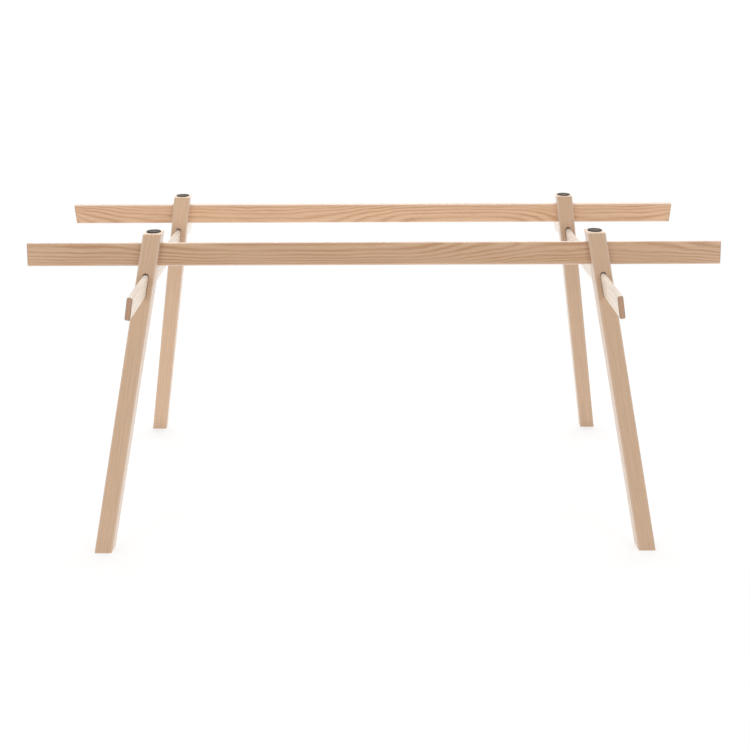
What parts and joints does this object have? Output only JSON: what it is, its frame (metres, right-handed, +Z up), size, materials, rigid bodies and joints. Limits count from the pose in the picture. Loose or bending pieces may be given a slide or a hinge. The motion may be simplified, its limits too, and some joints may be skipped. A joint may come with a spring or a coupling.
{
  "type": "trestle frame",
  "caption": "Wooden trestle frame with splayed legs whose long rails and cross rails plug through the legs, and round pads in the leg tops that carry a work top or table top.",
  "frame": {"origin": "on the floor under the middle of the frame", "axes": "+X along the long rails, +Y along the cross rails away from the picture's camera, +Z up"},
  "size_m": [1.5, 0.82, 0.692],
  "materials": {
    "leg_wood": "pale, straight-grained, oiled matt",
    "rail_wood": "pale, flat-sawn with arched grain, oiled matt",
    "pad_rubber": "dark grey, satin"
  },
  "bodies": {
    "back_right_leg": {"back_right_leg": "leg_wood", "back_right_pad": "pad_rubber"},
    "back_left_leg": {"back_left_leg": "leg_wood", "back_left_pad": "pad_rubber"},
    "front_right_leg": {"front_right_leg": "leg_wood", "front_right_pad": "pad_rubber"},
    "front_left_leg": {"front_left_leg": "leg_wood", "front_left_pad": "pad_rubber"},
    "back_long_rail": {"back_long_rail": "rail_wood"},
    "front_long_rail": {"front_long_rail": "rail_wood"},
    "right_cross_rail": {"right_cross_rail": "rail_wood"},
    "left_cross_rail": {"left_cross_rail": "rail_wood"}
  },
  "joints": [
    {"name": "left_legs_slide", "type": "slide", "parent": "back_right_leg", "child": "back_left_leg", "axis": [1, 0, 0], "range_m": [-0.1, 0.3]},
    {"name": "front_legs_slide", "type": "slide", "parent": "back_right_leg", "child": "front_right_leg", "axis": [0, 1, 0], "range_m": [-0.08, 0.18]},
    {"name": "front_left_leg_slide", "type": "slide", "parent": "front_right_leg", "child": "front_left_leg", "axis": [1, 0, 0], "range_m": [-0.1, 0.3]},
    {"name": "back_rail_slide", "type": "slide", "parent": "back_right_leg", "child": "back_long_rail", "axis": [1, 0, 0], "range_m": [-0.12, 0.12]},
    {"name": "front_rail_slide", "type": "slide", "parent": "front_right_leg", "child": "front_long_rail", "axis": [1, 0, 0], "range_m": [-0.12, 0.12]},
    {"name": "right_cross_slide", "type": "slide", "parent": "back_right_leg", "child": "right_cross_rail", "axis": [0, 1, 0], "range_m": [-0.07, 0.07]},
    {"name": "left_cross_slide", "type": "slide", "parent": "back_left_leg", "child": "left_cross_rail", "axis": [0, 1, 0], "range_m": [-0.07, 0.07]}
  ],
  "couplings": [
    {"joint": "front_left_leg_slide", "follows": "left_legs_slide", "ratio": 1}
  ]
}
